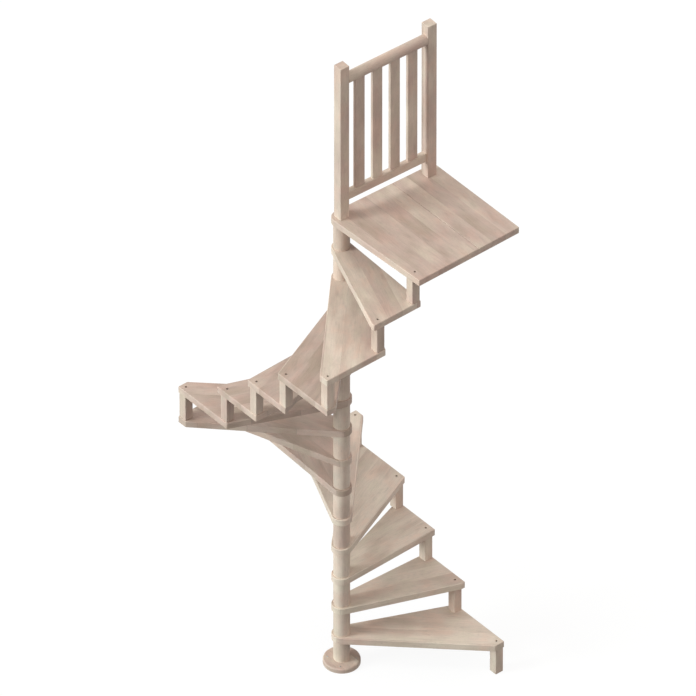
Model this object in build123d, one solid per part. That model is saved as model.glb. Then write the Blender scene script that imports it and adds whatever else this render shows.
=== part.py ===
from build123d import *
import math
import os

# Square-plan spiral stair of beech: fifteen equal rises in one turn round a stacked newel.
# Each winder tread is threaded on a steel tie rod at its hub, with a turned sleeve between
# it and the next one, and its outer end stands on a square post borne by the tread below.
# The last rise reaches a corner landing of two boards, with a balustrade on its left edge.
# Frame: millimetres, +Z up, origin under the base flange on the axis of the newel.
# +X and +Y run along the sides of the square plan. The flight climbs counterclockwise.

# ---- driving dimensions -------------------------------------------------------------

storey_height = 3000.0        # floor to the top of the landing
rises = 15                    # equal rises, the last one onto the landing
plan_side = 1200.0            # side of the square that the treads fill
steps_per_turn = 16           # treads that would make a whole turn
first_step_angle = 45.0       # direction of the first tread's post, in degrees from +X
square_corner_angle = 45.0    # direction of the square's first corner

tread_thickness = 40.0
tread_edge_cut = 2.5          # arris taken off the top and bottom edges
tread_corner_cut = 3.0        # arris taken off the upright edge at each outer corner
nosing_lead = 42.0            # how far the front edge runs ahead of the post's radial line
nosing_overhang = 22.5        # the most that a tread's front corner shows beyond its post
back_overlap = 3.5            # what a tread shows behind the post that stands on it

hub_diameter = 108.0          # round inner end of a tread
sleeve_diameter = 88.0
rod_diameter = 20.0
rod_clearance = 0.5           # round the rod, in sleeves, treads and landing
rod_foot_cover = 6.0          # wood of the flange left below the rod's foot
rod_hold_in_post = 80.0       # length of rod that the newel-top post screws down on

flange_diameter = 198.0
flange_thickness = 28.0
flange_edge_cut = 5.5         # rounds the rim off, with the next one on its two edges
flange_edge_ease = 2.0
flange_screw_circle = 150.0
flange_screw_count = 4
flange_screw_hole = 8.0

post_side = 50.0              # spacer posts at the outer ends of the treads
post_setback = 4.0            # tread edge to post face
post_edge_cut = 2.0
screw_recess_diameter = 14.0  # sinks the screw that goes down into each post
screw_recess_depth = 12.0

landing_overrun_x = 55.0      # what the landing reaches beyond the square, on two sides
landing_overrun_y = 43.0
landing_nosing_lead = 33.0
landing_left_reach = 28.0     # rear left corner beyond the newel's axis
landing_screw_shift = 14.0    # the landing's screw stands off its post's axis, outwards
landing_joint_y = 372.0       # joint between the landing's two boards
landing_joint_cut = 3.0       # arris taken off each board at the joint

rail_post_side = 57.0
rail_post_height = 1000.0     # above the landing
rail_post_edge_cut = 2.0
rail_post_span = 568.0        # between the axes of the two posts
handrail_diameter = 60.0
handrail_drop = 98.0          # from the tops of its posts down to its axis
bottom_rail_thickness = 30.0
bottom_rail_depth = 50.0
bottom_rail_clearance = 103.0
baluster_width = 60.0
baluster_thickness = 18.0
baluster_count = 4

# ---- sizes that follow --------------------------------------------------------------

rise = storey_height / rises
step_angle = 360.0 / steps_per_turn
half_side = plan_side / 2
hub_radius = hub_diameter / 2
post_line = half_side - post_setback - post_side / 2
bore_diameter = rod_diameter + 2 * rod_clearance
landing_underside = storey_height - tread_thickness
landing_reach_x = half_side + landing_overrun_x
landing_reach_y = half_side + landing_overrun_y
rail_length = rail_post_span - rail_post_side
handrail_height = rail_post_height - handrail_drop


# ---- plan geometry ------------------------------------------------------------------


def direction(angle):
    """Unit vector in plan at an angle in degrees from +X."""
    return Vector(math.cos(math.radians(angle)), math.sin(math.radians(angle)))


def plan_angle(point):
    return math.degrees(math.atan2(point.Y, point.X))


def post_centre(angle):
    """Where the ray in this direction meets the square through all post axes."""
    ray = direction(angle)
    return ray * (post_line / max(abs(ray.X), abs(ray.Y)))


def hub_tangent_angle(point, side):
    """Direction of the spot where a line from the point touches the hub's circle.

    The front side (-1) is clockwise of the point, the back side (1) is beyond it.
    """
    return plan_angle(point) + side * math.degrees(math.acos(hub_radius / point.length))


def winder_outline(outer_points):
    """Face bounded by the hub's arc, its two tangents and straight edges between them."""
    front = hub_tangent_angle(outer_points[0], -1)
    back = hub_tangent_angle(outer_points[-1], 1)
    start = direction(front) * hub_radius
    end = direction(back) * hub_radius
    far = direction((front + back) / 2 + 180.0) * hub_radius
    return make_face(Polyline(start, *outer_points, end) + ThreePointArc(end, far, start))


# ---- shared shapes ------------------------------------------------------------------


def bar(diameter, bottom, top, centre=(0, 0)):
    """Upright round bar."""
    shape = Cylinder(diameter / 2, top - bottom, align=(Align.CENTER, Align.CENTER, Align.MIN))
    return Pos(*centre, bottom) * shape


def stick(side_x, side_y, bottom, top, centre=(0, 0)):
    """Upright square-cut stick."""
    shape = Box(side_x, side_y, top - bottom, align=(Align.CENTER, Align.CENTER, Align.MIN))
    return Pos(*centre, bottom) * shape


def board(outline, top):
    """Board of tread thickness with its arrises taken off and a bore for the rod."""
    bottom = top - tread_thickness
    slab = extrude(Pos(0, 0, bottom) * outline, tread_thickness, dir=(0, 0, 1))
    uprights = slab.edges().filter_by(Axis.Z)
    corners = [e for e in uprights if math.hypot(e.center().X, e.center().Y) > hub_diameter]
    slab = chamfer(corners, tread_corner_cut)
    slab = chamfer(slab.faces().filter_by(Plane.XY).edges(), tread_edge_cut)
    return slab - bar(bore_diameter, bottom, top)


def screw_recess(x, y, top):
    """Recess that sinks the head of the screw going down into a post."""
    return bar(screw_recess_diameter, top - screw_recess_depth, top, (x, y))


# ---- newel --------------------------------------------------------------------------


def make_base_flange():
    disc = bar(flange_diameter, 0, flange_thickness)
    disc = chamfer(disc.edges().sort_by(Axis.Z)[-1:], flange_edge_cut)
    rims = disc.edges().filter_by(GeomType.CIRCLE).sort_by(Axis.Z)[-2:]
    disc = chamfer(rims, flange_edge_ease)
    disc -= bar(rod_diameter, rod_foot_cover, flange_thickness)
    for n in range(flange_screw_count):
        place = direction(square_corner_angle + 360.0 * n / flange_screw_count)
        place *= flange_screw_circle / 2
        disc -= bar(flange_screw_hole, 0, flange_thickness, (place.X, place.Y))
    return disc


def make_newel_sleeves():
    """One turned sleeve under every tread and under the landing."""
    sleeves = []
    for level in range(rises):
        bottom = level * rise if level > 0 else flange_thickness
        top = (level + 1) * rise - tread_thickness
        sleeves.append(bar(sleeve_diameter, bottom, top) - bar(bore_diameter, bottom, top))
    return Compound(sleeves)


def make_tie_rod():
    return bar(rod_diameter, rod_foot_cover, storey_height + rod_hold_in_post)


# ---- treads and spacer posts --------------------------------------------------------


def step_direction(step):
    return first_step_angle + step_angle * (step - 1)


def front_corner(post, angle):
    """Outer end of a tread's front edge, for a post at this angle below the +Y side.

    The edge leaves the hub at a tangent and passes the post by the nosing's lead. Where
    it would then overhang the post too far, a facet parallel to the post ends it.
    """
    nosing = post + direction(angle - 90.0) * nosing_lead
    start = direction(hub_tangent_angle(nosing, -1)) * hub_radius
    run = nosing - start
    limit = min(post.X + post_side / 2 + nosing_overhang, half_side)
    end = start + run * ((half_side - start.Y) / run.Y)
    if end.X <= limit:
        return [end]
    return [start + run * ((limit - start.X) / run.X), Vector(limit, half_side)]


def back_corner(next_post, angle):
    """Outer end of a tread's back edge, just behind the post that stands on it."""
    behind = post_side / 2 + back_overlap
    if angle + step_angle < square_corner_angle + 90.0:
        return [Vector(next_post.X - behind, half_side)]
    return [Vector(-half_side, half_side), Vector(-half_side, next_post.Y - behind)]


def make_tread(step):
    """Winder made with its post on the square's +Y side, then turned to its place."""
    quarter = math.floor((step_direction(step) - square_corner_angle) / 90.0)
    angle = step_direction(step) - 90.0 * quarter
    post = post_centre(angle)
    outer = front_corner(post, angle) + back_corner(post_centre(angle + step_angle), angle)
    top = step * rise
    tread = board(winder_outline(outer), top) - screw_recess(post.X, post.Y, top)
    return tread.rotate(Axis.Z, 90.0 * quarter)


def make_spacer_post(step):
    """Post under the outer end of a step; the first one stands on the floor."""
    centre = post_centre(step_direction(step))
    top = step * rise - tread_thickness
    post = stick(post_side, post_side, (step - 1) * rise, top, (centre.X, centre.Y))
    return chamfer(post.edges().filter_by(Axis.Z), post_edge_cut)


# ---- landing ------------------------------------------------------------------------

landing_left_corner = Vector(-landing_left_reach, landing_reach_y)


def make_landing_boards():
    """Corner landing cut into a front and a rear board, with a groove at their joint."""
    post = post_centre(step_direction(rises))
    nosing = Vector(post.X, post.Y - landing_nosing_lead)
    start = direction(hub_tangent_angle(nosing, -1)) * hub_radius
    run = nosing - start
    front_right = start + run * ((landing_reach_x - start.X) / run.X)
    outer = [front_right, Vector(landing_reach_x, landing_reach_y), landing_left_corner]
    slab = board(winder_outline(outer), storey_height)
    slab -= screw_recess(post.X + landing_screw_shift, post.Y, storey_height)

    groove_side = landing_joint_cut * math.sqrt(2)
    groove = Box(2 * plan_side, groove_side, groove_side)
    for height in (landing_underside, storey_height):
        slab -= Location((0, landing_joint_y, height), (45, 0, 0)) * groove
    front_half = Box(2 * plan_side, plan_side, plan_side, align=(Align.CENTER, Align.MAX, Align.CENTER))
    front_half = Pos(0, landing_joint_y, storey_height) * front_half
    return slab & front_half, slab - front_half


# ---- balustrade ---------------------------------------------------------------------
# Local frame: origin on the landing over the newel, +Y along the landing's left edge.

tangent_point = direction(hub_tangent_angle(landing_left_corner, 1)) * hub_radius
balustrade_turn = plan_angle(landing_left_corner - tangent_point) - 90.0
balustrade_frame = Location((0, 0, storey_height), (0, 0, balustrade_turn))


def make_rail_post(along):
    post = stick(rail_post_side, rail_post_side, 0, rail_post_height, (0, along))
    rims = post.edges().filter_by(Axis.Z) + post.faces().sort_by(Axis.Z)[-1].edges()
    return chamfer(rims, rail_post_edge_cut)


def make_newel_top_post():
    return balustrade_frame * (make_rail_post(0) - bar(rod_diameter, 0, rod_hold_in_post))


def make_far_rail_post():
    return balustrade_frame * make_rail_post(rail_post_span)


def handrail_bar():
    bar_along_y = Rot(90, 0, 0) * Cylinder(handrail_diameter / 2, rail_length)
    return Pos(0, rail_post_span / 2, handrail_height) * bar_along_y


def make_handrail():
    return balustrade_frame * handrail_bar()


def make_bottom_rail():
    top = bottom_rail_clearance + bottom_rail_depth
    centre = (0, rail_post_span / 2)
    return balustrade_frame * stick(
        bottom_rail_thickness, rail_length, bottom_rail_clearance, top, centre
    )


def make_balusters():
    """Flat slats on the bottom rail, coped to the round underside of the handrail."""
    gap = (rail_length - baluster_count * baluster_width) / (baluster_count + 1)
    bottom = bottom_rail_clearance + bottom_rail_depth
    slats = []
    for n in range(baluster_count):
        along = rail_post_side / 2 + gap + baluster_width / 2 + n * (gap + baluster_width)
        slat = stick(baluster_thickness, baluster_width, bottom, handrail_height, (0, along))
        slats.append(balustrade_frame * (slat - handrail_bar()))
    return Compound(slats)


# ---- export -------------------------------------------------------------------------

landing_front_board, landing_rear_board = make_landing_boards()
nodes = {
    "base_flange": make_base_flange(),
    "newel_sleeves": make_newel_sleeves(),
    "tie_rod": make_tie_rod(),
    "landing_front_board": landing_front_board,
    "landing_rear_board": landing_rear_board,
    "foot_post": make_spacer_post(1),
    "landing_post": make_spacer_post(rises),
    "newel_top_post": make_newel_top_post(),
    "far_rail_post": make_far_rail_post(),
    "handrail": make_handrail(),
    "bottom_rail": make_bottom_rail(),
    "balusters": make_balusters(),
}
for step in range(1, rises):
    nodes[f"tread_{step:02d}"] = make_tread(step)
for step in range(2, rises):
    nodes[f"spacer_post_{step:02d}"] = make_spacer_post(step)

os.makedirs("parts", exist_ok=True)
for name, shape in nodes.items():
    export_step(shape, f"parts/{name}.step")
print(len(nodes), "nodes written")
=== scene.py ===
# %% [markdown]
# # A square-plan spiral stair in beech
# The CAD model already has the right shape and size: treads, sleeves, posts, a landing and
# its balustrade. What it lacks is a finish. Here each wooden part gets solid, procedural
# wood, the screws that hold the treads are added, and a studio is set up round the stair.

import math

import bpy
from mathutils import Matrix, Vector


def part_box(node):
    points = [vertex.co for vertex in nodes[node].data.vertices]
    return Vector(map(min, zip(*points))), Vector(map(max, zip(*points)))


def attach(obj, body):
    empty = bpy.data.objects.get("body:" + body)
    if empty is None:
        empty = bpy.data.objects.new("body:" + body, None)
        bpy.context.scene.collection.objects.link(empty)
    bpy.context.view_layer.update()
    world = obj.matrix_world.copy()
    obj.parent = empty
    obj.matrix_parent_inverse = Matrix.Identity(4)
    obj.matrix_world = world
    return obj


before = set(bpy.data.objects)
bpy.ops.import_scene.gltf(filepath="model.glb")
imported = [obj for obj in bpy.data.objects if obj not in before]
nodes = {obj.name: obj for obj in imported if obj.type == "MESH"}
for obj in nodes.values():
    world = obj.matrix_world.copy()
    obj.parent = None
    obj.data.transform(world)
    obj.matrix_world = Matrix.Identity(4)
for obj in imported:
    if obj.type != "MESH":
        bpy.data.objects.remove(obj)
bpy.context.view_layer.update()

# %% [markdown]
# ## Sizes of the real object
# A finish has to know how the stair is laid out, because the grain of a winder tread runs
# along its own front edge. The nodes give the number of treads, their boxes the levels and
# the line of the posts. The angles are those of the CAD model, in degrees.

# %% Layout of the flight
TREADS = len([name for name in nodes if name.startswith("tread_")])
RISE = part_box("tread_01")[1].z
LANDING_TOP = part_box("landing_front_board")[1].z
foot_low, foot_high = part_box("foot_post")
POST_LINE = (foot_low.x + foot_high.x) / 2
FIRST_STEP_ANGLE = 45.0
STEP_ANGLE = 22.5
BALUSTRADE_TURN = 2.4


def step_angle(step):
    """Direction of a step's post in degrees from +X."""
    return FIRST_STEP_ANGLE + STEP_ANGLE * (step - 1)


print("rise", round(RISE, 4), "landing", round(LANDING_TOP, 4), "posts", round(POST_LINE, 4))

# %% [markdown]
# ## Shader maths as Python
# A node tree is hard to read as a list of links. This small class wraps a socket, so that
# an expression such as 1 - mask * 0.5 adds its Math nodes by itself.


# %% A socket that can be calculated with
class Wire:
    """An output socket of a material's node tree, for use in expressions."""

    def __init__(self, finish, socket):
        self.finish = finish
        self.socket = socket

    def beside(self, name):
        """Another output of the same node."""
        return Wire(self.finish, self.socket.node.outputs[name])

    def math(self, operation, *operands):
        values = dict(enumerate((self, *operands)))
        return self.finish.node("ShaderNodeMath", {"operation": operation}, values)

    def __add__(self, other):
        return self.math("ADD", other)

    def __sub__(self, other):
        return self.math("SUBTRACT", other)

    def __rsub__(self, other):
        return self.finish.node("ShaderNodeMath", {"operation": "SUBTRACT"}, {0: other, 1: self})

    def __mul__(self, other):
        return self.math("MULTIPLY", other)

    def __truediv__(self, other):
        return self.math("DIVIDE", other)

    __radd__ = __add__
    __rmul__ = __mul__


print("Wire is ready")


# %% A material under construction
class Finish:
    """Builds the node tree of a material or of the world. node() makes any node of it."""

    def __init__(self, owner):
        self.owner = owner
        owner.use_nodes = True
        self.tree = owner.node_tree
        self.tree.nodes.clear()

    def node(self, kind, settings=None, sockets=None, output=0):
        made = self.tree.nodes.new(kind)
        for key, value in (settings or {}).items():
            if key == "stops":
                self.set_stops(made.color_ramp, value)
            else:
                setattr(made, key, value)
        for key, value in (sockets or {}).items():
            socket = self.find(made.inputs, key)
            if isinstance(value, Wire):
                self.tree.links.new(value.socket, socket)
            else:
                socket.default_value = value
        return Wire(self, self.find(made.outputs, output)) if made.outputs else None

    @staticmethod
    def find(sockets, key):
        """A socket by number, by identifier or by name."""
        if isinstance(key, int):
            return sockets[key]
        for socket in sockets:
            if socket.identifier == key:
                return socket
        return sockets[key]

    @staticmethod
    def set_stops(ramp, stops):
        while len(ramp.elements) < len(stops):
            ramp.elements.new(1.0)
        for element, (place, colour) in zip(ramp.elements, stops):
            element.position = place
            element.color = (*colour, 1.0)

    def mix(self, factor, first, second, blend="MIX"):
        """Mix two colours."""
        return self.node(
            "ShaderNodeMix",
            {"data_type": "RGBA", "blend_type": blend},
            {"Factor_Float": factor, "A_Color": first, "B_Color": second},
            "Result_Color",
        )

    def vector(self, x, y, z):
        return self.node("ShaderNodeCombineXYZ", None, {"X": x, "Y": y, "Z": z})

    def noise(self, place, scale, detail=2.0, roughness=0.5):
        return self.node(
            "ShaderNodeTexNoise",
            None,
            {"Vector": place, "Scale": scale, "Detail": detail, "Roughness": roughness},
        )

    def chance(self, place, output="Value"):
        """One random number, or colour, for each whole-numbered place."""
        return self.node("ShaderNodeTexWhiteNoise", None, {"Vector": place}, output)

    def ramp(self, factor, stops):
        return self.node("ShaderNodeValToRGB", {"stops": stops}, {"Fac": factor})

    def surface(self, **sockets):
        """Close the tree with a Principled BSDF. Names use _ for a space."""
        values = {key.replace("_", " "): value for key, value in sockets.items()}
        shader = self.node("ShaderNodeBsdfPrincipled", None, values)
        self.node("ShaderNodeOutputMaterial", None, {"Surface": shader})
        return self.owner


print("Finish is ready")

# %% [markdown]
# ## Solid wood
# Real boards are glued up from staves, each cut from its own plank, so colour and figure
# jump at every glue line and run on from the top of a board over its edge. A texture on
# three coordinates does that: one axis runs with the grain and the others cross it.

# %% Colours of beech, as linear light
CREAM = (0.755, 0.628, 0.530)
ROSE = (0.595, 0.452, 0.387)
SAND = (0.650, 0.518, 0.430)
TAN = (0.490, 0.368, 0.298)
STAVE_TONES = [(0.0, TAN), (0.35, ROSE), (0.65, SAND), (1.0, CREAM)]

ROSY = (1.035, 0.975, 0.960)
PLAIN = (1.0, 1.0, 1.0)
STRAW = (0.970, 1.0, 0.975)
TINTS = [(0.36, ROSY), (0.5, PLAIN), (0.64, STRAW)]
print("stave tones:", len(STAVE_TONES), "tints:", len(TINTS))

# %% [markdown]
# ## Where a point lies in its stave
# Every wooden part uses the same grid: rows across the grain, one stave wide, and pieces
# along it, shifted from row to row as a joiner staggers the ends. Two whole numbers, row
# and piece, name a stave, and white noise turns them into the stave's own random numbers.
# A noise has no seed, so a pattern is slid along the grain to make it differ. The blobs of
# a noise are about half a unit wide, so that width divided by a pattern's own is its scale.


# %% Grid of staves
class Staves:
    """Coordinates, names and random numbers of the staves that one part is glued from."""

    def __init__(self, finish, turn, width, length, first_joint, first_end, seed, stagger, level):
        self.finish, self.width, self.seed = finish, width, seed
        place = finish.node("ShaderNodeTexCoord", None, None, "Object")
        angles = [math.radians(angle) for angle in turn]
        place = finish.node("ShaderNodeMapping", None, {"Vector": place, "Rotation": angles})
        self.along = finish.node("ShaderNodeSeparateXYZ", None, {"Vector": place}, "X")
        self.across = self.along.beside("Y")
        self.depth = self.along.beside("Z") - level

        self.lane = (self.across - first_joint) / width
        self.row = self.lane.math("FLOOR")
        shift = finish.chance(finish.vector(self.row, seed, ROW_SHIFT_KEY)) * stagger
        run = (self.along - first_end) / length + shift
        self.piece = run.math("FLOOR")
        draw = finish.chance(finish.vector(self.row, self.piece, seed), "Color")
        self.tone = finish.node("ShaderNodeSeparateColor", None, {"Color": draw}, "Red")
        self.pith_side, self.pith_depth = self.tone.beside("Green"), self.tone.beside("Blue")

        # distance to the nearest glue line, beside or at the end of the stave
        lane_edge = self.lane.math("PINGPONG", 0.5) * width
        run_edge = run.math("PINGPONG", 0.5) * length
        self.edge = lane_edge.math("MINIMUM", run_edge)

    def grain(self, pattern, offset=0.0):
        """One of GRAIN_PATTERNS, slid along the grain by the offset."""
        stretch, width, detail, roughness = GRAIN_PATTERNS[pattern]
        size = BLOB_WIDTH / width
        place = self.finish.vector(
            self.along * (size / stretch) + offset, self.across * size, self.depth * size
        )
        return self.finish.noise(place, 1.0, detail, roughness)

    def grain_by_part(self, pattern):
        """A pattern that runs on over all staves of a part and differs from part to part."""
        return self.grain(pattern, self.seed * PART_SLIDE + PATTERN_SLIDES[pattern])

    def grain_by_stave(self, pattern):
        """A pattern that starts afresh in every stave."""
        own = self.piece * PIECE_SLIDE + self.row * ROW_SLIDE + self.seed
        return self.grain(pattern, own + PATTERN_SLIDES[pattern])


BLOB_WIDTH = 0.5
ROW_SHIFT_KEY = 7.0
PART_SLIDE, PIECE_SLIDE, ROW_SLIDE = 1.7, 3.7, 1.3
PATTERN_SLIDES = {
    "clouds": 0.0,
    "sway": 5.0,
    "tint": 17.0,
    "strokes": 41.0,
    "marks": 29.0,
    "mottle": 3.0,
}
print("Staves is ready, with", len(PATTERN_SLIDES), "patterns that slide")

# %% [markdown]
# ## What beech looks like
# Beech has no strong grain. Its character is soft clouds of rose and straw, strokes and
# darker marks a few centimetres long, fine fibres and short dark ray flecks. Each of them
# is the same noise, stretched along the grain by its own amount, so one table is enough:
# how many times longer than wide, the width in metres, the noise's detail and roughness.

# %% Patterns of the grain, and how much each one lightens or darkens
GRAIN_PATTERNS = {
    "clouds": (2.6, 0.070, 2.0, 0.5),
    "tint": (1.8, 0.045, 3.0, 0.6),
    "sway": (5.0, 0.045, 1.0, 0.5),
    "strokes": (5.0, 0.009, 2.0, 0.6),
    "marks": (4.0, 0.011, 1.0, 0.5),
    "mottle": (1.6, 0.022, 2.0, 0.6),
    "fibre": (45.0, 0.0019, 3.0, 0.6),
    "fleck": (8.0, 0.0008, 1.0, 0.5),
}
CONTRAST = {
    "bands": 0.22,
    "strokes": 0.13,
    "marks": 0.07,
    "mottle": 0.20,
    "rings": 0.020,
    "fibre": 0.24,
    "fleck": 0.20,
    "glue": 0.16,
}
print("grain patterns:", ", ".join(GRAIN_PATTERNS))


# %% Colour of a stave
CLOUD_SPREAD = 2.1


def stave_colour(staves, spread, paler):
    """Tone of the stave, its clouds, and their drift between rose and straw."""
    finish = staves.finish
    clouds, tint = staves.grain_by_stave("clouds"), staves.grain_by_part("tint")
    level = (staves.tone - 0.5) * spread + 0.5 + paler + (clouds - 0.5) * CLOUD_SPREAD
    colour = finish.ramp(level, STAVE_TONES)
    return finish.mix(1.0, colour, finish.ramp(tint, TINTS), "MULTIPLY")


print("clouds shift the tone by up to", CLOUD_SPREAD / 2)


# %% [markdown]
# ## Growth rings
# Each stave was cut beside a pith that lies a few centimetres below its face. The distance
# to that pith gives the rings: fine lines from a sine, and broad uneven bands from a noise
# of the same distance. A slow sway bends both, which makes the flames of flat-sawn wood.


# %% Rings and bands
RING_WIDTH = 0.0034
PITH_CLEARANCE = 0.035
PITH_RANGE = 0.07
SWAY_REACH = 0.06
BANDS_PER_METRE = 42.0
BAND_DRIFT = 0.8
BAND_SHIFT = 40.0


def growth_rings(staves):
    """Waves of the fine rings and of the broad bands, round the pith of each stave."""
    finish = staves.finish
    sway = staves.grain_by_stave("sway")
    side = (staves.lane - staves.row - staves.pith_side) * staves.width
    below = staves.depth + PITH_CLEARANCE + staves.pith_depth * PITH_RANGE + sway * SWAY_REACH
    radius = (side * side + below * below).math("SQRT")
    rings = (radius * (2.0 * math.pi / RING_WIDTH)).math("SINE")
    place = finish.vector(
        radius * BANDS_PER_METRE, staves.tone * BAND_SHIFT, staves.along * BAND_DRIFT
    )
    return rings, finish.noise(place, 1.0, detail=2.0, roughness=0.6)


print("rings:", 1000 * RING_WIDTH, "mm wide")


# %% [markdown]
# ## One function for every wooden part
# The width and length of the staves, how much their tones differ, and the direction of the
# grain change from part to part, so they are arguments. The patterns change the colour by
# a few per cent each. The fibres and flecks also roughen the surface a little, as on bare
# sanded wood.

# %% Wood
GLUE_LINE = 0.0005
FLECK_START = 0.62
FLECK_SLOPE = 9.0
MARK_START = 0.60
MARK_SLOPE = 8.0
MEAN_SHADE = 0.98
GRAIN_DEPTH = 0.0004
GRAIN_BUMP = 0.35
FIBRE_HEIGHT, FLECK_HEIGHT = 0.6, 0.4
SANDED, FIBRE_ROUGH, FLECK_ROUGH = 0.5, 0.14, 0.08


def above(pattern, start, slope):
    """0 up to the start, then rising to 1, to pick the peaks of a pattern."""
    return ((pattern - start) * slope).math("MAXIMUM", 0.0).math("MINIMUM", 1.0)


def wood(
    name,
    turn,
    stave_width,
    stave_length,
    first_joint=0.0,
    first_end=0.0,
    seed=0.0,
    stagger=1.0,
    level=0.0,
    spread=0.8,
    paler=0.0,
):
    """Beech whose grain runs along the object's X after the turn, given in degrees."""
    finish = Finish(bpy.data.materials.new(name))
    staves = Staves(
        finish, turn, stave_width, stave_length, first_joint, first_end, seed, stagger, level
    )
    colour = stave_colour(staves, spread, paler)
    rings, bands = growth_rings(staves)

    strokes, mottle = staves.grain_by_part("strokes"), staves.grain_by_part("mottle")
    fibre = staves.grain("fibre")
    fleck = above(staves.grain("fleck"), FLECK_START, FLECK_SLOPE)
    marks = above(staves.grain_by_part("marks"), MARK_START, MARK_SLOPE)
    glue = staves.edge.math("LESS_THAN", GLUE_LINE)

    shade = MEAN_SHADE + (bands - 0.5) * CONTRAST["bands"]
    shade = shade + (strokes - 0.5) * CONTRAST["strokes"]
    shade = shade + (mottle - 0.5) * CONTRAST["mottle"] + (fibre - 0.5) * CONTRAST["fibre"]
    shade = shade + rings * CONTRAST["rings"] - marks * CONTRAST["marks"]
    shade = shade - fleck * CONTRAST["fleck"] - glue * CONTRAST["glue"]
    colour = finish.mix(1.0, colour, finish.vector(shade, shade, shade), "MULTIPLY")

    height = fibre * FIBRE_HEIGHT - fleck * FLECK_HEIGHT - glue
    bump = finish.node(
        "ShaderNodeBump",
        None,
        {"Height": height, "Strength": GRAIN_BUMP, "Distance": GRAIN_DEPTH},
    )
    roughness = SANDED + fibre * FIBRE_ROUGH + fleck * FLECK_ROUGH
    return finish.surface(Base_Color=colour, Roughness=roughness, Normal=bump)


def finish_nodes(material, *names):
    """Give a material to CAD nodes. A node keeps its mesh and its place."""
    for name in names:
        nodes[name].data.materials.clear()
        nodes[name].data.materials.append(material)


print("wood is ready")

# %% [markdown]
# ## Treads and landing
# A winder is cut from a glued-up panel whose staves lie parallel to its front edge, so each
# tread's pattern is turned to its own step. The boards are short enough for staves that run
# their whole length, so that length is set to more than any part has. The staves of one
# tread are close in tone, while the treads come in four tones that are painted light and
# shade: paler for the lit lower and upper treads, darkest for treads 6 to 8 under the flight
# and darker for treads 9 to 12. The landing's two boards have more lively staves, parallel
# to the landing's front.

# %% Finish the treads and the landing
STAVE_WIDTH = 0.0895
ONE_PIECE = 10.0
NOSING_LEAN = 1.2
WHOLE = {"first_end": -ONE_PIECE / 2, "stagger": 0.0}
LANDING_PALER = -0.25
TREAD_FIRST_JOINT = 0.041
LANDING_FIRST_JOINT = 0.0145
EVEN = 0.3
# Painted light and shade: pale for lit treads 1 to 5, darkest for treads 6 to 8 under the flight,
# dull for 9 to 12, fair for the top treads.
PALE, FAIR, DULL, DARK = 0.35, 0.20, -0.22, -0.32
TREAD_PAINTED_SHADES = [(5, PALE), (8, DARK), (12, DULL), (TREADS, FAIR)]


def painted_tread_shade(step):
    """Painted light and shade of a tread: how much paler than middling it is made. Each tone
    serves up to its numbered tread.
    """
    return next(tone for last, tone in TREAD_PAINTED_SHADES if step <= last)


# Each tread's tone is painted light and shade, chosen by its step.
for step in range(1, TREADS + 1):
    grain = wood(
        f"tread_panel_{step:02d}",
        (0.0, 0.0, -(step_angle(step) + NOSING_LEAN)),
        STAVE_WIDTH,
        ONE_PIECE,
        first_joint=TREAD_FIRST_JOINT,
        seed=float(step),
        level=step * RISE,
        spread=EVEN,
        paler=painted_tread_shade(step),
        **WHOLE,
    )
    finish_nodes(grain, f"tread_{step:02d}")
landing_panel = wood(
    "landing_panel",
    (0.0, 0.0, 0.0),
    STAVE_WIDTH,
    ONE_PIECE,
    first_joint=LANDING_FIRST_JOINT,
    seed=float(TREADS + 1),
    paler=LANDING_PALER,
    level=LANDING_TOP,
    **WHOLE,
)
finish_nodes(landing_panel, "landing_front_board", "landing_rear_board")
print("panels finished:", TREADS + 2)

# %% [markdown]
# ## Posts, newel and balustrade
# These are single sticks, turned or planed with the grain on end, so a stave here is one
# whole part. Posts and sleeves change at every tread, so their stave is one rise long. The
# balustrade's posts and balusters stand side by side, so there the width of a stave is
# their pitch. The handrail and the bottom rail have their grain lengthwise, and the disc
# under the newel is turned from a panel of two wide staves. Sticks are close in tone, and
# each kind has its own mean tone.

# %% Finish the sticks
ON_END = (0.0, 90.0, 0.0)
BALUSTER_PITCH = 0.12
RAIL_STAVE = 4.0
DISC_STAVE_WIDTH, DISC_STAVE_LENGTH = 0.0995, 2.0
DISC_FIRST_JOINT = -0.05
POST_PALER, TURNED_PALER, RAIL_POST_PALER, RAIL_PALER = 0.18, 0.25, 0.05, 0.35
POST_SEED, TURNED_SEED, RAIL_POST_SEED, RAIL_SEED, DISC_SEED = 1.0, 2.0, 3.0, 4.0, 5.0
STICK = {"first_joint": -ONE_PIECE / 2, "stagger": 0.0, "spread": EVEN}

posts = wood("post_beech", ON_END, ONE_PIECE, RISE, seed=POST_SEED, paler=POST_PALER, **STICK)
spacers = [name for name in nodes if name.startswith("spacer_post")]
finish_nodes(posts, "foot_post", "landing_post", *spacers)
turned_parts = wood(
    "turned_beech", ON_END, ONE_PIECE, RISE, seed=TURNED_SEED, paler=TURNED_PALER, **STICK
)
finish_nodes(turned_parts, "newel_sleeves")
rail_posts = wood(
    "rail_post_beech",
    ON_END,
    BALUSTER_PITCH,
    ONE_PIECE,
    first_joint=-BALUSTER_PITCH / 2,
    seed=RAIL_POST_SEED,
    stagger=0.0,
    spread=EVEN,
    paler=RAIL_POST_PALER,
)
finish_nodes(rail_posts, "newel_top_post", "far_rail_post", "balusters")
RAIL_TURN = (0.0, 0.0, -90.0 - BALUSTRADE_TURN)
rails = wood(
    "rail_beech",
    RAIL_TURN,
    ONE_PIECE,
    RAIL_STAVE,
    first_joint=-ONE_PIECE / 2,
    seed=RAIL_SEED,
    spread=EVEN,
    paler=RAIL_PALER,
)
finish_nodes(rails, "handrail", "bottom_rail")
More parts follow.
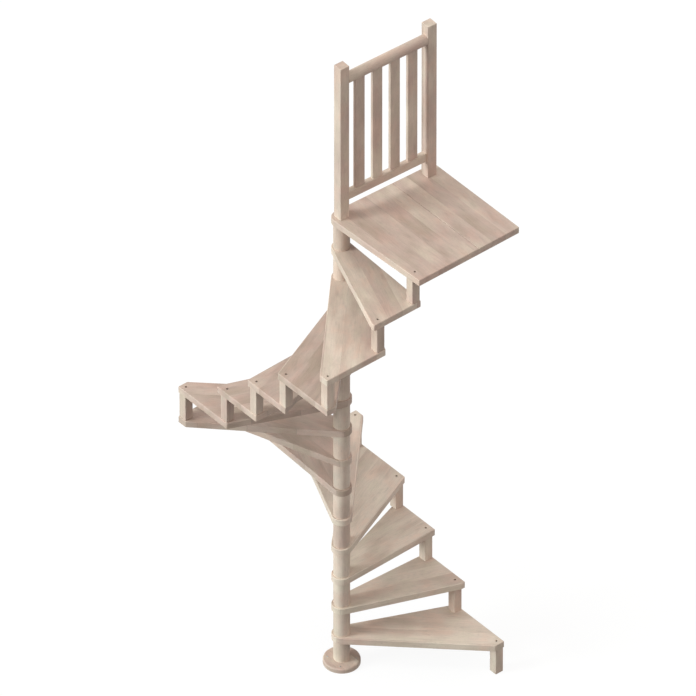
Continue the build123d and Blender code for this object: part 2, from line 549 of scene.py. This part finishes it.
disc = wood(
    "flange_beech",
    (0.0, 0.0, 0.0),
    DISC_STAVE_WIDTH,
    DISC_STAVE_LENGTH,
    first_joint=DISC_FIRST_JOINT,
    seed=DISC_SEED,
)
finish_nodes(disc, "base_flange")
print("sticks finished")

# %% [markdown]
# ## Zinc-plated steel
# The tie rod is hidden in the newel, and the screws show as small bright heads deep in
# their recesses. Plated steel is a metal with a slightly uneven, cool shine.


# %% Steel
DULL_ZINC, BRIGHT_ZINC = (0.36, 0.36, 0.35), (0.52, 0.52, 0.50)
ZINC_CLOUDS_PER_METRE = 220.0
SMOOTH_ZINC, CLOUD_ROUGH = 0.3, 0.2
ZINC_BUMP, ZINC_DEPTH = 0.1, 0.0002


def zinc(name):
    """Plated steel with fine clouds in its colour, its shine and its surface."""
    finish = Finish(bpy.data.materials.new(name))
    place = finish.node("ShaderNodeTexCoord", None, None, "Object")
    cloud = finish.noise(place, ZINC_CLOUDS_PER_METRE, detail=3.0)
    colour = finish.ramp(cloud, [(0.3, DULL_ZINC), (0.7, BRIGHT_ZINC)])
    bump = finish.node(
        "ShaderNodeBump", None, {"Height": cloud, "Strength": ZINC_BUMP, "Distance": ZINC_DEPTH}
    )
    roughness = SMOOTH_ZINC + cloud * CLOUD_ROUGH
    return finish.surface(Base_Color=colour, Metallic=1.0, Roughness=roughness, Normal=bump)


steel = zinc("zinc_steel")
finish_nodes(steel, "tie_rod")
print("steel is ready")

# %% [markdown]
# ## Screws
# A countersunk recess over each post hides a screw with a hexagon socket, and four more
# screws hold the flange. They are all alike, so a Geometry Nodes tree makes one head and
# puts it on every point of a small mesh. A fixed seed turns each head its own way.

# %% Where the screws sit
RECESS_DEPTH = 0.012
LANDING_SCREW_SHIFT = 0.014
FLANGE_SCREW_CIRCLE = 0.150
FLANGE_SCREWS = 4
FIRST_SCREW_ANGLE = 45.0
FLANGE_HEAD_HEIGHT = 0.004
FLANGE_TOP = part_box("base_flange")[1].z


def post_place(angle):
    """Point in plan where the ray at this angle meets the square of the post axes."""
    x, y = math.cos(math.radians(angle)), math.sin(math.radians(angle))
    reach = POST_LINE / max(abs(x), abs(y))
    return x * reach, y * reach


post_screws = [
    (*post_place(step_angle(step)), step * RISE - RECESS_DEPTH) for step in range(1, TREADS + 1)
]
landing_x, landing_y = post_place(step_angle(TREADS + 1))
post_screws.append((landing_x + LANDING_SCREW_SHIFT, landing_y, LANDING_TOP - RECESS_DEPTH))
flange_screws = []
for n in range(FLANGE_SCREWS):
    turn = math.radians(FIRST_SCREW_ANGLE + 360.0 / FLANGE_SCREWS * n)
    reach = FLANGE_SCREW_CIRCLE / 2
    flange_screws.append(
        (reach * math.cos(turn), reach * math.sin(turn), FLANGE_TOP - FLANGE_HEAD_HEIGHT)
    )
print("screws:", len(post_screws), "in treads,", len(flange_screws), "in the flange")


# %% The tree that makes the heads
ROUND_SIDES = 32
CROWN_HEIGHT, CROWN_TOP = 0.3, 0.82


class Maker:
    """Builds one Geometry Nodes tree with named inputs."""

    def __init__(self, name, inputs):
        self.tree = bpy.data.node_groups.new(name, "GeometryNodeTree")
        self.tree.interface.new_socket(
            "Geometry", in_out="INPUT", socket_type="NodeSocketGeometry"
        )
        self.names = {}
        for label, kind in inputs.items():
            socket = self.tree.interface.new_socket(label, in_out="INPUT", socket_type=kind)
            self.names[label] = socket.identifier
        self.tree.interface.new_socket(
            "Geometry", in_out="OUTPUT", socket_type="NodeSocketGeometry"
        )
        self.given = self.tree.nodes.new("NodeGroupInput")

    def node(self, kind, settings=None, sockets=None, output=0):
        made = self.tree.nodes.new(kind)
        for key, value in (settings or {}).items():
            setattr(made, key, value)
        for key, value in (sockets or {}).items():
            socket = Finish.find(made.inputs, key)
            for item in value if isinstance(value, list) else [value]:
                if isinstance(item, bpy.types.NodeSocket):
                    self.tree.links.new(item, socket)
                else:
                    socket.default_value = item
        return Finish.find(made.outputs, output) if made.outputs else None

    def number(self, operation, first, second):
        return self.node("ShaderNodeMath", {"operation": operation}, {0: first, 1: second})


def head_tree():
    """A barrel with a tapered crown and a six-sided socket, on every point it is given."""
    maker = Maker(
        "socket_head_screws",
        {
            "Head Radius": "NodeSocketFloat",
            "Head Height": "NodeSocketFloat",
            "Socket Radius": "NodeSocketFloat",
            "Seed": "NodeSocketInt",
            "Finish": "NodeSocketMaterial",
        },
    )
    given = maker.given.outputs
    radius, height = given["Head Radius"], given["Head Height"]
    barrel = maker.node(
        "GeometryNodeMeshCone",
        None,
        {
            "Vertices": ROUND_SIDES,
            "Radius Top": radius,
            "Radius Bottom": radius,
            "Depth": height,
        },
        "Mesh",
    )
    crown_depth = maker.number("MULTIPLY", height, CROWN_HEIGHT)
    crown = maker.node(
        "GeometryNodeMeshCone",
        None,
        {
            "Vertices": ROUND_SIDES,
            "Radius Top": maker.number("MULTIPLY", radius, CROWN_TOP),
            "Radius Bottom": radius,
            "Depth": crown_depth,
        },
        "Mesh",
    )
    to_top = maker.node("ShaderNodeCombineXYZ", None, {"Z": height})
    raised = maker.node("GeometryNodeTransform", None, {"Geometry": crown, "Translation": to_top})
    whole = maker.node(
        "GeometryNodeMeshBoolean", {"operation": "UNION"}, {"Mesh 2": [barrel, raised]}
    )
    key = maker.node(
        "GeometryNodeMeshCone",
        None,
        {
            "Vertices": 6,
            "Radius Top": given["Socket Radius"],
            "Radius Bottom": given["Socket Radius"],
            "Depth": height,
        },
        "Mesh",
    )
    half = maker.number("MULTIPLY", height, 0.5)
    to_middle = maker.node("ShaderNodeCombineXYZ", None, {"Z": half})
    key = maker.node("GeometryNodeTransform", None, {"Geometry": key, "Translation": to_middle})
    head = maker.node(
        "GeometryNodeMeshBoolean", {"operation": "DIFFERENCE"}, {"Mesh 1": whole, "Mesh 2": key}
    )
    spots = maker.node("GeometryNodeMeshToPoints", None, {"Mesh": given["Geometry"]})
    spin = maker.node(
        "FunctionNodeRandomValue",
        {"data_type": "FLOAT_VECTOR"},
        {"Max": (0.0, 0.0, 2.0 * math.pi), "Seed": given["Seed"]},
    )
    placed = maker.node(
        "GeometryNodeInstanceOnPoints", None, {"Points": spots, "Instance": head, "Rotation": spin}
    )
    real = maker.node("GeometryNodeRealizeInstances", None, {"Geometry": placed})
    coated = maker.node(
        "GeometryNodeSetMaterial", None, {"Geometry": real, "Material": given["Finish"]}
    )
    maker.node("NodeGroupOutput", None, {"Geometry": coated})
    return maker


heads = head_tree()
print("tree nodes:", len(heads.tree.nodes))


# %% Run the tree on a set of points and keep a plain mesh
def screws(name, places, head_radius, head_height, socket_radius, seed):
    """One piece with a head at every place."""
    points = bpy.data.meshes.new(name + "_points")
    points.from_pydata(places, [], [])
    holder = bpy.data.objects.new(name + "_points", points)
    bpy.context.scene.collection.objects.link(holder)
    modifier = holder.modifiers.new("heads", "NODES")
    modifier.node_group = heads.tree
    given = {
        "Head Radius": head_radius,
        "Head Height": head_height,
        "Socket Radius": socket_radius,
        "Seed": seed,
        "Finish": steel,
    }
    for label, value in given.items():
        modifier[heads.names[label]] = value
    holder.update_tag()
    evaluated = holder.evaluated_get(bpy.context.evaluated_depsgraph_get())
    mesh = bpy.data.meshes.new_from_object(evaluated)
    holder.modifiers.clear()
    bpy.data.objects.remove(holder)
    piece = bpy.data.objects.new(name, mesh)
    bpy.context.scene.collection.objects.link(piece)
    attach(piece, "root")
    print(name, "faces:", len(mesh.polygons))
    return piece


screws(
    "tread_screws",
    post_screws,
    head_radius=0.0055,
    head_height=0.005,
    socket_radius=0.0029,
    seed=3,
)
screws(
    "flange_screws",
    flange_screws,
    head_radius=0.0038,
    head_height=FLANGE_HEAD_HEIGHT,
    socket_radius=0.0021,
    seed=5,
)

# %% [markdown]
# ## Studio
# The stair stands on a pale floor under an even sky, with a low broad lamp from the front
# left and a weaker, higher one beside it. The floor looks white to the camera but lights
# the object like a dark one, and it keeps a soft shadow: light of its own is added only
# for camera, mirror and glass rays.


# %% Floor
def seen_directly(finish):
    """1 where the camera, a mirror or a glass looks at the surface, 0 for soft light."""
    camera = finish.node("ShaderNodeLightPath", None, None, "Is Camera Ray")
    mirror, glass = camera.beside("Is Glossy Ray"), camera.beside("Is Transmission Ray")
    return camera.math("MAXIMUM", mirror).math("MAXIMUM", glass)


FLOOR_GREY = 0.12
FLOOR_GLOW = 0.9
floor_finish = Finish(bpy.data.materials.new("pale_floor"))
matt = floor_finish.node("ShaderNodeBsdfDiffuse", None, {"Color": (FLOOR_GREY,) * 3 + (1.0,)})
WHITE = (1.0, 1.0, 1.0, 1.0)
shine = seen_directly(floor_finish) * FLOOR_GLOW
glow = floor_finish.node("ShaderNodeEmission", None, {"Color": WHITE, "Strength": shine})
both = floor_finish.node("ShaderNodeAddShader", None, {0: matt, 1: glow})
floor_finish.node("ShaderNodeOutputMaterial", None, {"Surface": both})

FLOOR_REACH = 60.0
corners = [(-1, -1), (1, -1), (1, 1), (-1, 1)]
floor_mesh = bpy.data.meshes.new("floor")
floor_points = [(x * FLOOR_REACH, y * FLOOR_REACH, 0.0) for x, y in corners]
floor_mesh.from_pydata(floor_points, [], [(0, 1, 2, 3)])
floor_mesh.materials.append(floor_finish.owner)
floor = bpy.data.objects.new("floor", floor_mesh)
bpy.context.scene.collection.objects.link(floor)
print("floor side:", 2 * FLOOR_REACH, "m")

# %% Sky
world = bpy.data.worlds.new("studio")
bpy.context.scene.world = world
sky = Finish(world)
SKY_COLOUR = (1.0, 0.96, 0.92, 1.0)
SKY_LEVEL = 0.72
ambient = sky.node("ShaderNodeBackground", None, {"Color": SKY_COLOUR, "Strength": SKY_LEVEL})
white = sky.node("ShaderNodeBackground", None, {"Color": WHITE, "Strength": 1.0})
chosen = sky.node("ShaderNodeMixShader", None, {0: seen_directly(sky), 1: ambient, 2: white})
sky.node("ShaderNodeOutputWorld", None, {"Surface": chosen})
print("sky level:", SKY_LEVEL)


# %% Lamps
def lamp(name, travel, level, spread, colour):
    """A sun lamp whose light travels in the given direction; spread is in degrees."""
    light = bpy.data.lights.new(name, "SUN")
    light.energy = level
    light.angle = math.radians(spread)
    light.color = colour
    holder = bpy.data.objects.new(name, light)
    holder.rotation_mode = "QUATERNION"
    holder.rotation_quaternion = Vector(travel).to_track_quat("-Z", "Y")
    bpy.context.scene.collection.objects.link(holder)


HIGH_WHITE = (0.96, 1.00, 0.97)
FRONT_WHITE = (0.91, 1.05, 1.05)
lamp("high_lamp", (0.372, 0.613, -0.697), level=0.70, spread=16.0, colour=HIGH_WHITE)
lamp("front_lamp", (0.35, 0.90, -0.25), level=2.05, spread=22.0, colour=FRONT_WHITE)

# %% [markdown]
# ## Camera
# The view is nearly a parallel projection: a very long lens far away, looking down on the
# stair's corner. Its distance is worked out from the width that the frame takes in at the
# stair's axis.

# %% Camera
VIEW_AZIMUTH = math.radians(50.0)
VIEW_ELEVATION = math.radians(39.693)
LENS = 1650.0
SENSOR = 36.0
FRAME_WIDTH = 3.5915
AIM_RIGHT = 0.0328
AIM_HEIGHT = 2.1189

flat = math.cos(VIEW_ELEVATION)
back = Vector(
    (math.sin(VIEW_AZIMUTH) * flat, -math.cos(VIEW_AZIMUTH) * flat, math.sin(VIEW_ELEVATION))
)
right = Vector((math.cos(VIEW_AZIMUTH), math.sin(VIEW_AZIMUTH), 0.0))
aim = right * AIM_RIGHT + Vector((0.0, 0.0, AIM_HEIGHT))
camera_data = bpy.data.cameras.new("camera")
camera_data.lens = LENS
camera_data.sensor_width = SENSOR
camera = bpy.data.objects.new("camera", camera_data)
camera.rotation_mode = "QUATERNION"
camera.location = aim + back * (FRAME_WIDTH * LENS / SENSOR)
camera.rotation_quaternion = (-back).to_track_quat("-Z", "Y")
camera_data.clip_start = 1.0
camera_data.clip_end = 400.0
bpy.context.scene.collection.objects.link(camera)
bpy.context.scene.camera = camera
bpy.context.scene.view_settings.view_transform = "Standard"
print("camera distance:", round((camera.location - aim).length, 1), "m")
